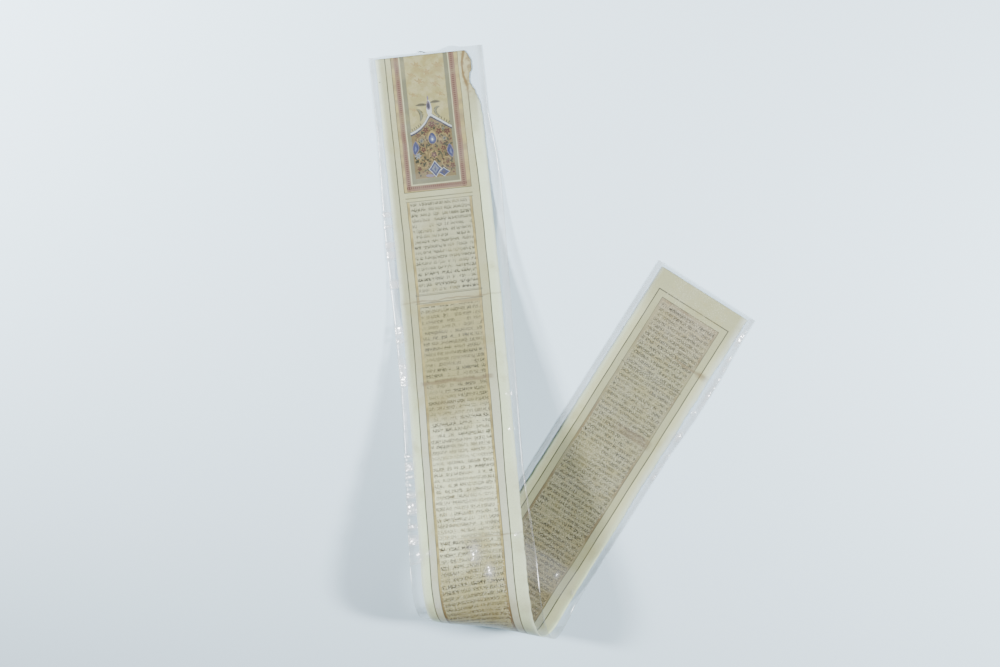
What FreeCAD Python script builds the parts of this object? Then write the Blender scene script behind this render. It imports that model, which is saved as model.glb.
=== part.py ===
import FreeCAD
import Part
import math
import os

# Paper scroll folded over once into a soft loop, in a clear flat sleeve
# The lower leg lies flat with the back of the sheet up, the loop turns it over, and the upper leg comes down
# flat again with its head end. The sheet isn't stretched, so it bends only about straight fold lines.

doc = FreeCAD.newDocument("PaperScroll")

# Driving dimensions in millimetres and degrees
sizes = doc.addObject("Spreadsheet::Sheet", "Sizes")
DIMENSIONS = [
    ("sheet_width", 80.0, "width of the paper strip"),
    ("sheet_thickness", 0.25, "thickness of the paper"),
    ("film_thickness", 0.15, "thickness of each wall of the sleeve"),
    ("film_play", 0.25, "room between paper and film on each side"),
    ("sleeve_width", 90.0, "width of the sleeve laid flat"),
    ("sleeve_overhang", 3.0, "sleeve beyond the paper at each end"),
    ("lower_leg", 256.0, "flat length of the lower leg on its middle line"),
    ("loop_length", 130.7, "length of the loop on its middle line"),
    ("rise_length", 145.7, "flat length behind the loop"),
    ("landing_length", 165.7, "length of the gentle curve back to the table"),
    ("head_length", 87.1, "flat length at the head end"),
    ("loop_turn", 189.6, "turn of the loop, to be trimmed"),
    ("loop_slant_in", -30.1, "slant of the fold lines where the loop begins"),
    ("loop_slant_out", -6.8, "slant of the fold lines where the loop ends"),
    ("landing_turn", 14.7, "turn of the landing curve, to be trimmed"),
    ("landing_slant", 34.6, "slant of the fold lines at the landing, to be trimmed"),
    ("lower_leg_heading", 32.3, "direction of the lower leg, away from the length of the part"),
    ("tear_width", 9.0, "paper missing at the torn head corner, across"),
    ("tear_length", 62.0, "paper missing at the torn head corner, along"),
    ("fray_depth", 2.4, "deepest bite in the ragged margin of the lower leg"),
    ("fray_pitch", 26.0, "distance from one bite to the next"),
]
for row, (alias, value, note) in enumerate(DIMENSIONS, start=1):
    sizes.set("A%d" % row, alias)
    sizes.set("B%d" % row, str(value))
    sizes.set("C%d" % row, note)
    sizes.setAlias("B%d" % row, alias)
doc.recompute()

UP = FreeCAD.Vector(0, 0, 1)
STEPS = 96


def fold_path(loop_turn, landing_turn, landing_slant):
    # Follows the middle line from the end of the lower leg to the head end.
    # Each station holds the point, the direction along, the direction across and the slant of its fold line.
    slant_in = math.tan(math.radians(sizes.loop_slant_in))
    slant_out = math.tan(math.radians(sizes.loop_slant_out))
    heading = math.radians(sizes.lower_leg_heading)
    along = FreeCAD.Vector(-math.sin(heading), -math.cos(heading), 0)
    across = FreeCAD.Vector(math.cos(heading), -math.sin(heading), 0)
    point = FreeCAD.Vector(0, 0, 0)
    zones = [
        (sizes.lower_leg, 0.0, 0.0, slant_in),
        (sizes.loop_length, -loop_turn, slant_in, slant_out),
        (sizes.rise_length, 0.0, slant_out, landing_slant),
        (sizes.landing_length, landing_turn, landing_slant, landing_slant),
        (sizes.head_length, 0.0, landing_slant, 0.0),
    ]
    path = []
    for length, turn, slant_from, slant_to in zones:
        stations = [(point, along, across, slant_from)]
        if turn == 0.0:
            point = point + along * length
            stations.append((point, along, across, slant_to))
        else:
            step = length / STEPS
            for i in range(STEPS):
                middle = (i + 0.5) / STEPS
                slant = slant_from + (slant_to - slant_from) * middle
                axis = across + along * slant
                # The turn grows and dies away smoothly, as a half wave
                share = math.pi / 2 * math.sin(math.pi * middle) / STEPS
                turning = FreeCAD.Rotation(axis, turn * share)
                new_along = turning.multVec(along)
                across = turning.multVec(across)
                point = point + (along + new_along) * (step / 2)
                along = new_along
                slant = slant_from + (slant_to - slant_from) * (i + 1) / STEPS
                stations.append((point, along, across, slant))
        path.append(stations)
    return path


def landing_error(trim):
    point, along, across, slant = fold_path(trim.x, trim.y, trim.z)[-1][-1]
    face = along.cross(across)
    return FreeCAD.Vector(point.z, 100 * face.x, 100 * face.y)


def flat_landing():
    # Trims the two turns and the landing slant until the head end lies flat on the level of the lower leg
    trim = FreeCAD.Vector(sizes.loop_turn, sizes.landing_turn, math.tan(math.radians(sizes.landing_slant)))
    nudge = 1e-4
    for attempt in range(30):
        error = landing_error(trim)
        if error.Length < 1e-9:
            break
        dx = (landing_error(trim + FreeCAD.Vector(nudge, 0, 0)) - error) / nudge
        dy = (landing_error(trim + FreeCAD.Vector(0, nudge, 0)) - error) / nudge
        dz = (landing_error(trim + FreeCAD.Vector(0, 0, nudge)) - error) / nudge
        slope = FreeCAD.Matrix(dx.x, dy.x, dz.x, 0, dx.y, dy.y, dz.y, 0, dx.z, dy.z, dz.z, 0, 0, 0, 0, 1)
        trim = trim - slope.inverse().multVec(error)
    return fold_path(trim.x, trim.y, trim.z)


path = flat_landing()


def edge_point(station, offset, lift):
    point, along, across, slant = station
    return point + (across + along * slant) * offset + along.cross(across) * lift


def zone_edge(stations, offset, lift, stretch_start, stretch_end):
    # One long edge of one zone: a straight line where the zone is flat, a spline where it bends
    points = [edge_point(station, offset, lift) for station in stations]
    if len(points) == 2:
        points[0] = points[0] - stations[0][1] * stretch_start
        points[1] = points[1] + stations[1][1] * stretch_end
        return Part.LineSegment(points[0], points[1])
    curve = Part.BSplineCurve()
    picked = points[::4]
    curve.interpolate(
        Points=picked,
        Parameters=[float(i) for i in range(len(picked))],
        InitialTangent=(points[1] - points[0]) * 4,
        FinalTangent=(points[-1] - points[-2]) * 4,
    )
    return curve


def strip_solid(half_width, half_thickness, stretch):
    # A closed strip about the folded middle surface, longer by stretch at both ends
    corners = [
        (-half_width, -half_thickness),
        (half_width, -half_thickness),
        (half_width, half_thickness),
        (-half_width, half_thickness),
    ]
    faces = []
    for number, stations in enumerate(path):
        start = stretch if number == 0 else 0.0
        end = stretch if number == len(path) - 1 else 0.0
        edges = [zone_edge(stations, offset, lift, start, end) for offset, lift in corners]
        for i in range(4):
            first = edges[i]
            second = edges[(i + 1) % 4]
            if isinstance(first, Part.LineSegment):
                outline = [first.StartPoint, first.EndPoint, second.EndPoint, second.StartPoint, first.StartPoint]
                faces.append(Part.Face(Part.makePolygon(outline)))
            else:
                faces.append(first.makeRuledSurface(second).toShape())
        if number == 0:
            outline = [edge.StartPoint for edge in edges]
            faces.append(Part.Face(Part.makePolygon(outline + outline[:1])))
        if number == len(path) - 1:
            outline = [edge.EndPoint for edge in edges]
            faces.append(Part.Face(Part.makePolygon(outline + outline[:1])))
    skin = Part.makeCompound(faces)
    skin.sewShape(1e-3)
    solid = Part.Solid(skin.Shells[0])
    if solid.Volume < 0:
        solid.reverse()
    return solid


def strip_feature(name, half_width, half_thickness, stretch):
    feature = doc.addObject("Part::Feature", name)
    feature.Shape = strip_solid(half_width, half_thickness, stretch)
    return feature


def end_placement(station, outward):
    # x runs across the strip, y outwards past its end, z up
    point, along, across, slant = station
    return FreeCAD.Placement(point, FreeCAD.Rotation(across, along * outward, UP, "XYZ"))


def margin_cutter(name, placement, outline):
    # A prism through the paper over an outline drawn in the frame of one end
    drawing = doc.addObject("Part::Polygon", name + "Outline")
    drawing.Nodes = [FreeCAD.Vector(x, y, -sizes.sheet_thickness) for x, y in outline]
    drawing.Close = True
    drawing.Placement = placement
    prism = doc.addObject("Part::Extrusion", name)
    prism.Base = drawing
    prism.DirMode = "Custom"
    prism.Dir = UP
    prism.setExpression("LengthFwd", "2 * Sizes.sheet_thickness")
    prism.Solid = True
    return prism


# Paper sheet with its torn head corner and its ragged margin on the lower leg
half_sheet = sizes.sheet_width / 2
paper_strip = strip_feature("PaperStrip", half_sheet, sizes.sheet_thickness / 2, 0.0)
head_end = end_placement(path[-1][-1], 1)
tail_end = end_placement(path[0][0], -1)
beyond = half_sheet + 1
torn_corner = margin_cutter("TornCorner", head_end, [
    (beyond, 1),
    (half_sheet - sizes.tear_width, 1),
    (half_sheet - sizes.tear_width, -0.1 * sizes.tear_length),
    (half_sheet - 0.6 * sizes.tear_width, -0.56 * sizes.tear_length),
    (half_sheet, -sizes.tear_length),
    (beyond, -sizes.tear_length),
])
ragged = [(beyond, 1)]
for bite, depth in enumerate((0.3, 0.1, 0.8, 0.0, 1.0, 0.2, 0.5)):
    ragged.append((half_sheet - depth * sizes.fray_depth, 1 - bite * sizes.fray_pitch))
    ragged.append((half_sheet - 0.7 * depth * sizes.fray_depth, 1 - (bite + 0.6) * sizes.fray_pitch))
ragged.append((beyond, 1 - 6.9 * sizes.fray_pitch))
ragged_margin = margin_cutter("RaggedMargin", tail_end, ragged)
missing_paper = doc.addObject("Part::MultiFuse", "MissingPaper")
missing_paper.Shapes = [torn_corner, ragged_margin]
sheet = doc.addObject("Part::Cut", "ScrollSheet")
sheet.Base = paper_strip
sheet.Tool = missing_paper
sheet.Label = "scroll_sheet"

# Clear sleeve: a flat film tube, folded at both sides and open at both ends
half_room = sizes.sheet_thickness / 2 + sizes.film_play
half_sleeve = sizes.sleeve_width / 2
outside = strip_feature("SleeveOutside", half_sleeve, half_room + sizes.film_thickness, sizes.sleeve_overhang)
inside = strip_feature("SleeveInside", half_sleeve - sizes.film_thickness, half_room, sizes.sleeve_overhang + 1)
sleeve = doc.addObject("Part::Cut", "ClearSleeve")
sleeve.Base = outside
sleeve.Tool = inside
sleeve.Label = "clear_sleeve"

# The origin is under the middle of the part's box, at the level of the table
outer_points = []
for stations in path:
    for station in stations:
        for offset in (-half_sleeve, half_sleeve):
            for lift in (-half_room - sizes.film_thickness, half_room + sizes.film_thickness):
                outer_points.append(edge_point(station, offset, lift))
for station, outward in ((path[0][0], -1), (path[-1][-1], 1)):
    for offset in (-half_sleeve, half_sleeve):
        outer_points.append(edge_point(station, offset, 0) + station[1] * outward * sizes.sleeve_overhang)
middle_x = (min(p.x for p in outer_points) + max(p.x for p in outer_points)) / 2
middle_y = (min(p.y for p in outer_points) + max(p.y for p in outer_points)) / 2
lowest = min(p.z for p in outer_points)
for part in (sheet, sleeve):
    part.Placement = FreeCAD.Placement(FreeCAD.Vector(-middle_x, -middle_y, -lowest), FreeCAD.Rotation())

doc.recompute()
for item in doc.Objects:
    if "Invalid" in item.State or "Error" in item.State:
        raise RuntimeError("%s did not build" % item.Name)

os.makedirs("parts", exist_ok=True)
for part in (sheet, sleeve):
    shape = part.Shape
    if shape.isNull() or not shape.isValid() or len(shape.Solids) != 1:
        raise RuntimeError("%s is not one sound solid" % part.Label)
    print(part.Label, "volume", round(shape.Volume, 1), "faces", len(shape.Faces), "box", shape.BoundBox)
    shape.exportStep("parts/%s.step" % part.Label)
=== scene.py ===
import bpy
import bmesh
import math
import random
import numpy as np
from mathutils import Matrix, Vector, noise


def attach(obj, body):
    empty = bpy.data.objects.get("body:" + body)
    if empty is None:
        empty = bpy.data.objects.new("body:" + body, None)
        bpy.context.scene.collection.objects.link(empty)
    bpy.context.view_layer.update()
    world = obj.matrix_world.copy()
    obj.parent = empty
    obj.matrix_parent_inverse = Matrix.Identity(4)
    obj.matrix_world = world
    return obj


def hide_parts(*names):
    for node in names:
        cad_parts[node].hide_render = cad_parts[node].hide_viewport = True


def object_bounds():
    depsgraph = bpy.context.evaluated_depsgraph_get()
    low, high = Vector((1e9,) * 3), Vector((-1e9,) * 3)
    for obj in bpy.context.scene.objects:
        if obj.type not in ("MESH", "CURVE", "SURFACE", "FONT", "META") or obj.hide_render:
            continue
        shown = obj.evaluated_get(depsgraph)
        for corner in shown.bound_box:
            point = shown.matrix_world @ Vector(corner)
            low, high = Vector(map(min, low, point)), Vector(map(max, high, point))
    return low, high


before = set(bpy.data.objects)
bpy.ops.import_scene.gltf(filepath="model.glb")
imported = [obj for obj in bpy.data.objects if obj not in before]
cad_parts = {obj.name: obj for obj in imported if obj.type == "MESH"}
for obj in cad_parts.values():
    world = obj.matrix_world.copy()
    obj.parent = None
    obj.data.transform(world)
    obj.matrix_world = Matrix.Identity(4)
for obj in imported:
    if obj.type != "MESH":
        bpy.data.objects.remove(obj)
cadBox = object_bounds()
mm = 0.001

# How the sheet lies: flat lower leg, loop, rise, landing and head end, in millimetres and degrees
fold = {
    "tailPoint": (113.456, 33.684, 0.525),
    "heading": 32.3,
    "lowerLeg": 256.0,
    "loop": 130.7,
    "rise": 145.7,
    "landing": 165.7,
    "head": 87.1,
    "loopTurn": 189.6137,
    "landingTurn": 14.73869,
    "slantIn": -0.57968,
    "slantOut": -0.119243,
    "slantLanding": 0.687121,
    "step": 0.5,
    "sag": 5.0,
}
sheetLength = sum(fold[k] for k in ("lowerLeg", "loop", "rise", "landing", "head"))

paper = {
    "width": 80.0,
    "thickness": 0.25,
    "columns": 40,
    "rowStep": 1.5,
    "creases": ((195.3, 0.25), (260.0, 0.22), (382.0, 0.3), (728.0, 0.2)),
    "wave": 0.25,
    "edgeDrop": 0.24,
    "tornEdge": ((0, 31.0), (3, 33.2), (9, 35.4), (15, 35.2), (20, 32.6), (25, 32.4), (31, 35.4), (40, 38.6), (52, 40.0)),
    "fray": 1.0,
}

film = {
    "width": 90.0,
    "overhang": 3.0,
    "room": 0.42,
    "columns": 60,
    "rowStep": 1.5,
    "edgeRoom": 0.12,
    "ripple": 0.35,
    "clear": (0.980, 0.978, 0.976, 1),
    "edge": (0.905, 0.900, 0.890, 1),
    "left": ((0, 45), (60, 45), (110, 43.2), (150, 42.2), (200, 42.8), (260, 44.2), (320, 43.2), (380, 41.8), (440, 41.8),
             (500, 45)),
    "right": ((0, 45), (50, 45), (82, 48.4), (106, 49.4), (146, 48.6), (202, 47.4), (260, 46), (330, 45), (400, 41.4),
              (470, 41.4), (520, 45), (660, 45), (695, 47), (735, 47), (770, 45)),
    "hook": 1.4,
    "beads": ((118, 182), (202, 262), (292, 396)),
    "puckers": ((42.4, 768, 7.0), (42.9, 750, 3.4), (44.0, 718, 6.0), (41.6, 678, 6.5), (41.0, 700, 3.0), (37.3, 529, 3.0),
                (2.5, 392, 11.0), (12.6, 407, 9.0), (-31.9, 389, 3.4), (38.4, 275, 2.6), (38.3, 302, 2.6),
                (-37.0, 391, 6.0), (35.0, 381, 4.0), (-30.0, 425, 4.0), (20.0, 534, 4.0), (43.0, 640, 4.0)),
}


def foldStations():
    # Points along the middle line from the tail, with the directions along and across and the fold line's slant
    heading = math.radians(fold["heading"])
    along = Vector((-math.sin(heading), -math.cos(heading), 0))
    across = Vector((math.cos(heading), -math.sin(heading), 0))
    point = Vector(fold["tailPoint"])
    zones = [
        (fold["lowerLeg"], 0.0, 0.0, fold["slantIn"]),
        (fold["loop"], -fold["loopTurn"], fold["slantIn"], fold["slantOut"]),
        (fold["rise"], 0.0, fold["slantOut"], fold["slantLanding"]),
        (fold["landing"], fold["landingTurn"], fold["slantLanding"], fold["slantLanding"]),
        (fold["head"], 0.0, fold["slantLanding"], 0.0),
    ]
    rows = [(-20.0, point - along * 20.0, along, across, 0.0), (0.0, point, along, across, 0.0)]
    walked = 0.0
    for length, turn, slantFrom, slantTo in zones:
        steps = int(round(length / fold["step"]))
        for i in range(steps):
            middle = (i + 0.5) / steps
            reached = (i + 1) / steps
            if turn:
                slant = slantFrom + (slantTo - slantFrom) * middle
                share = math.pi / 2 * math.sin(math.pi * middle) / steps
                turning = Matrix.Rotation(math.radians(turn * share), 3, across + along * slant)
                newAlong = turning @ along
                across = turning @ across
            else:
                reached = reached * reached * (3 - 2 * reached)
                newAlong = along
            point = point + (along + newAlong) * (length / steps / 2)
            along = newAlong
            walked += length / steps
            rows.append((walked, point, along, across, slantFrom + (slantTo - slantFrom) * reached))
    rows.append((walked + 20.0, point + along * 20.0, along, across, 0.0))
    table = {"distance": np.array([r[0] for r in rows]), "slant": np.array([r[4] for r in rows])}
    for column, name in ((1, "point"), (2, "along"), (3, "across")):
        table[name] = np.array([tuple(r[column]) for r in rows])
    table["face"] = np.cross(table["across"], table["along"])
    return table


stations = foldStations()
print("fold path ready, sheet length", round(sheetLength, 1))


def foldPoints(flat):
    # Takes flat drawing points (across, up from the head end, height over the printed side) to the folded sheet
    across = flat[:, 0]
    wanted = sheetLength + flat[:, 1]
    at = wanted.copy()
    for attempt in range(40):
        at = wanted - across * np.interp(at, stations["distance"], stations["slant"])
    slant = np.interp(at, stations["distance"], stations["slant"])

    def pick(name):
        return np.stack([np.interp(at, stations["distance"], stations[name][:, i]) for i in range(3)], 1)

    rule = pick("across") + slant[:, None] * pick("along")
    placed = pick("point") + across[:, None] * rule + flat[:, 2:3] * pick("face")
    placed[:, 1] -= fold["sag"] * smoothStep(-48, -102, placed[:, 0]) * smoothStep(-150, -216, placed[:, 1])
    return placed * mm


def newObject(name, bm, material):
    mesh = bpy.data.meshes.new(name)
    bm.to_mesh(mesh)
    bm.free()
    for polygon in mesh.polygons:
        polygon.use_smooth = True
    thing = bpy.data.objects.new(name, mesh)
    bpy.context.scene.collection.objects.link(thing)
    mesh.materials.append(material)
    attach(thing, "root")
    return thing


def foldOver(bm):
    # Bends a flat drawing over the fold path, in place, and keeps it inside the CAD model's box
    flat = np.array([tuple(v.co) for v in bm.verts])
    for v, co in zip(bm.verts, np.clip(foldPoints(flat), cadBox[0], cadBox[1])):
        v.co = co


def addPlan(bm):
    # A UV map in millimetres: across the sheet, and down from its head end
    plan = bm.loops.layers.uv.new("sheetPlan")
    for face in bm.faces:
        for loop in face.loops:
            loop[plan].uv = (loop.vert.co.x, -loop.vert.co.y)


def smoothStep(low, high, value):
    x = np.clip((value - low) / (high - low), 0, 1)
    return x * x * (3 - 2 * x)


def noiseAt(x, y, scale, seed):
    return noise.noise(Vector((x / scale, y / scale, seed)))


def paperRelief(x, down):
    # How far the paper stands off its bed: creases and slow waves
    height = paper["wave"] * (0.5 + 0.5 * noiseAt(x * 0.5, down, 38.0, 3.1))
    for place, rise in paper["creases"]:
        off = down - place - 0.03 * x - 1.5 * noiseAt(x, place, 12.0, 7.7)
        height += rise * math.exp(-abs(off) / 2.2)
    return height


def bedSide(down):
    # +1 where the printed side is up, -1 on the lower leg, which lies on its printed side
    return 1 - 2 * float(smoothStep(440, 520, down))


def rightEdge(down):
    # Right edge of the paper: torn at the head corner, ragged along the lower leg
    half = paper["width"] / 2
    rough = 0.35 * noiseAt(0, down, 5.0, 1.3) + 0.25 * noiseAt(0, down, 1.7, 4.2)
    torn = float(np.interp(down, [p[0] for p in paper["tornEdge"]], [p[1] for p in paper["tornEdge"]]))
    if torn < half:
        half = torn + 0.5 * noiseAt(0, down, 5.0, 9.0) + 0.5 * noiseAt(0, down, 1.6, 3.7)
    fromTail = sheetLength - down
    if fromTail < 190:
        bite = max(0.0, noiseAt(0, down, 16.0, 5.5) + 0.15) + 0.5 * max(0.0, noiseAt(0, down, 4.0, 2.5))
        half -= paper["fray"] * bite * min(1.0, (190 - fromTail) / 20)
    return half + rough


def leftEdge(down):
    return -paper["width"] / 2 + 0.25 * noiseAt(5, down, 6.0, 6.6) + 0.15 * noiseAt(5, down, 2.0, 8.8)


# Shader helpers
def plug(tree, value, socket):
    if isinstance(value, bpy.types.NodeSocket):
        tree.links.new(value, socket)
    else:
        socket.default_value = value


def sums(tree, operation, first, second=None, clamp=False):
    node = tree.nodes.new("ShaderNodeMath")
    node.operation = operation
    node.use_clamp = clamp
    plug(tree, first, node.inputs[0])
    if second is not None:
        plug(tree, second, node.inputs[1])
    return node.outputs[0]


def ramped(tree, value, low, high, start=0.0, end=1.0):
    node = tree.nodes.new("ShaderNodeMapRange")
    node.interpolation_type = "SMOOTHSTEP"
    plug(tree, value, node.inputs["Value"])
    plug(tree, low, node.inputs["From Min"])
    plug(tree, high, node.inputs["From Max"])
    node.inputs["To Min"].default_value = start
    node.inputs["To Max"].default_value = end
    return node.outputs["Result"]


def lineMask(tree, value, centre, halfWidth, soft=0.15):
    off = sums(tree, "ABSOLUTE", sums(tree, "SUBTRACT", value, centre))
    return ramped(tree, sums(tree, "SUBTRACT", off, halfWidth), 0.0, soft, 1.0, 0.0)


def bandMask(tree, value, low, high, soft=0.15):
    return lineMask(tree, value, (low + high) / 2, (high - low) / 2, soft)


def both(tree, *masks):
    result = masks[0]
    for mask in masks[1:]:
        result = sums(tree, "MULTIPLY", result, mask)
    return result


def either(tree, *masks):
    result = masks[0]
    for mask in masks[1:]:
        result = sums(tree, "MAXIMUM", result, mask)
    return result


def blend(tree, share, under, over):
    node = tree.nodes.new("ShaderNodeMix")
    node.data_type = "RGBA"
    plug(tree, share, node.inputs[0])
    plug(tree, under, node.inputs[6])
    plug(tree, over, node.inputs[7])
    return node.outputs[2]


def joined(tree, x, y, z=0.0):
    node = tree.nodes.new("ShaderNodeCombineXYZ")
    plug(tree, x, node.inputs[0])
    plug(tree, y, node.inputs[1])
    plug(tree, z, node.inputs[2])
    return node.outputs[0]


def grain(tree, vector, scale, detail=2.0):
    node = tree.nodes.new("ShaderNodeTexNoise")
    node.inputs["Scale"].default_value = scale
    node.inputs["Detail"].default_value = detail
    plug(tree, vector, node.inputs["Vector"])
    return node.outputs["Fac"]


tints = {
    "marginInner": (0.345, 0.375, 0.225),
    "margin": (0.495, 0.555, 0.385),
    "marginPale": (0.640, 0.750, 0.580),
    "marginRight": (0.585, 0.700, 0.465),
    "marginLow": (0.490, 0.520, 0.310),
    "marginEnd": (0.345, 0.365, 0.210),
    "strip": (0.350, 0.370, 0.215),
    "stripPale": (0.450, 0.490, 0.370),
    "cornerStain": (0.330, 0.305, 0.160),
    "frayed": (0.560, 0.650, 0.600),
    "rule": (0.064, 0.068, 0.045),
    # bright gold and its shaded copy: painted glint and painted shade on the gilding
    "gold": (0.330, 0.290, 0.110),
    "shadedGold": (0.160, 0.132, 0.060),
    "backGold": (0.130, 0.095, 0.046),
    "cream": (0.245, 0.234, 0.092),
    "creamGold": (0.240, 0.190, 0.072),
    "fieldTop": (0.346, 0.362, 0.229),
    "fieldWarm": (0.288, 0.278, 0.126),
    # painted sheen: the pale stretch of the written field
    "fieldPaintedSheen": (0.580, 0.620, 0.410),
    "fieldLow": (0.330, 0.325, 0.165),
    "backHigh": (0.255, 0.258, 0.148),
    # lower leg's back near the fold: browner, and darker with painted shade
    "backLowWithShade": (0.198, 0.162, 0.084),
    "backEnd": (0.270, 0.250, 0.165),
    # brown of the stains, also used for the painted shade about the fold
    "stainAndShadeBrown": (0.149, 0.101, 0.036),
    "ink": (0.022, 0.022, 0.018),
    "fleck": (0.480, 0.410, 0.170),
    "paleFleck": (0.560, 0.560, 0.400),
    "rose": (0.160, 0.102, 0.070),
    "darkRose": (0.070, 0.026, 0.024),
    "white": (0.379, 0.433, 0.447),
    "greyGreen": (0.120, 0.128, 0.078),
    "greyWhite": (0.150, 0.165, 0.170),
    "tan": (0.205, 0.172, 0.095),
    "creamLight": (0.300, 0.288, 0.138),
    "ochre": (0.115, 0.087, 0.032),
    "brightGold": (0.235, 0.185, 0.062),
    "redBrown": (0.050, 0.016, 0.011),
    "purpleBrown": (0.060, 0.032, 0.032),
    "darkGreen": (0.026, 0.030, 0.014),
    "olive": (0.055, 0.052, 0.028),
    "blue": (0.016, 0.024, 0.085),
    "paleBlue": (0.060, 0.085, 0.190),
    "navy": (0.024, 0.025, 0.044),
    "slate": (0.080, 0.105, 0.150),
    "lavender": (0.120, 0.104, 0.154),
}


def tint(name):
    return tints[name] + (1.0,)


def tintRamp(tree, value, stops):
    # Colours along the sheet; each stop is a distance from the head end and a tint name
    node = tree.nodes.new("ShaderNodeValToRGB")
    elements = node.color_ramp.elements
    for index, (place, name) in enumerate(stops):
        element = elements[index] if index < 2 else elements.new(place / sheetLength)
        element.position = place / sheetLength
        element.color = tint(name)
    tree.links.new(sums(tree, "DIVIDE", value, sheetLength), node.inputs[0])
    return node.outputs[0]


def rectMask(tree, across, down, left, right, bottom):
    return both(tree, bandMask(tree, across, left, right), ramped(tree, down, bottom, bottom + 0.2, 1.0, 0.0))


def writtenRows(tree, plan, across, down):
    # Rows of generic marks: broken wavy strokes, upright ticks and dots, none of them a letter
    pitch = 4.28
    rows = sums(tree, "DIVIDE", sums(tree, "SUBTRACT", down, 115.8), pitch)
    row = sums(tree, "FLOOR", rows)
    within = sums(tree, "MULTIPLY", sums(tree, "SUBTRACT", rows, row), pitch)
    heavy = ramped(tree, down, 195.0, 205.0)
    dense = ramped(tree, down, 340.0, 420.0)
    rowVector = joined(tree, across, sums(tree, "MULTIPLY", row, 13.7))
    waves = sums(tree, "SUBTRACT", grain(tree, rowVector, 0.85, 2.0), 0.5)
    height = sums(tree, "ADD", within, sums(tree, "MULTIPLY", waves, 3.0))
    strokeWidth = sums(tree, "ADD", ramped(tree, heavy, 0.0, 1.0, 0.46, 0.27), sums(tree, "MULTIPLY", dense, 0.08))
    lower = both(tree, lineMask(tree, height, 2.6, strokeWidth, 0.25),
                 ramped(tree, grain(tree, rowVector, 0.8, 0.0), 0.38, 0.43))
    upperVector = joined(tree, across, sums(tree, "MULTIPLY", row, 7.3))
    upper = both(tree, lineMask(tree, sums(tree, "SUBTRACT", height, sums(tree, "MULTIPLY", waves, 5.0)), 1.6, 0.22, 0.22),
                 ramped(tree, grain(tree, upperVector, 0.95, 0.0), 0.45, 0.5))
    ticks = tree.nodes.new("ShaderNodeTexVoronoi")
    ticks.inputs["Scale"].default_value = 0.7
    plug(tree, joined(tree, across, sums(tree, "MULTIPLY", row, 31.0)), ticks.inputs["Vector"])
    place = tree.nodes.new("ShaderNodeSeparateXYZ")
    tree.links.new(ticks.outputs["Position"], place.inputs[0])
    lean = sums(tree, "ADD", across, sums(tree, "MULTIPLY", within, 0.15))
    tick = both(tree, lineMask(tree, lean, place.outputs[0], 0.12, 0.16), bandMask(tree, within, 0.8, 2.6, 0.3))
    dots = tree.nodes.new("ShaderNodeTexVoronoi")
    dots.inputs["Scale"].default_value = 0.8
    plug(tree, plan, dots.inputs["Vector"])
    dot = ramped(tree, dots.outputs["Distance"], 0.18, 0.34, 0.85, 0.0)
    gaps = ramped(tree, grain(tree, rowVector, 0.3, 0.0), 0.36, 0.4, 0.15, 1.0)

    # The longer text below is closer written: thin row lines and fine specks between the strokes
    rowLine = both(tree, lineMask(tree, within, 3.5, 0.12, 0.2), heavy,
                   ramped(tree, grain(tree, joined(tree, sums(tree, "MULTIPLY", across, 0.3), row), 0.7, 1.0), 0.4, 0.6, 0.1, 0.7))
    specks = both(tree, ramped(tree, grain(tree, plan, 1.1, 1.0), 0.55, 0.61), dense, bandMask(tree, within, 0.9, 3.5, 0.5))
    marks = either(tree, both(tree, either(tree, lower, upper, tick, dot), gaps), specks)
    strength = ramped(tree, grain(tree, joined(tree, sums(tree, "MULTIPLY", across, 0.06), row), 0.5, 1.0), 0.3, 0.7, 0.55, 1.0)
    pale = ramped(tree, heavy, 0.0, 1.0, 0.95, 1.0)
    inField = both(tree, bandMask(tree, across, -24.4, 22.6, 0.6), either(
        tree, bandMask(tree, down, 116.0, 188.4), bandMask(tree, down, 199.6, 762.0)))
    return both(tree, either(tree, marks, rowLine), sums(tree, "MAXIMUM", strength, sums(tree, "MULTIPLY", dense, 0.85)), pale, inField)


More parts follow.
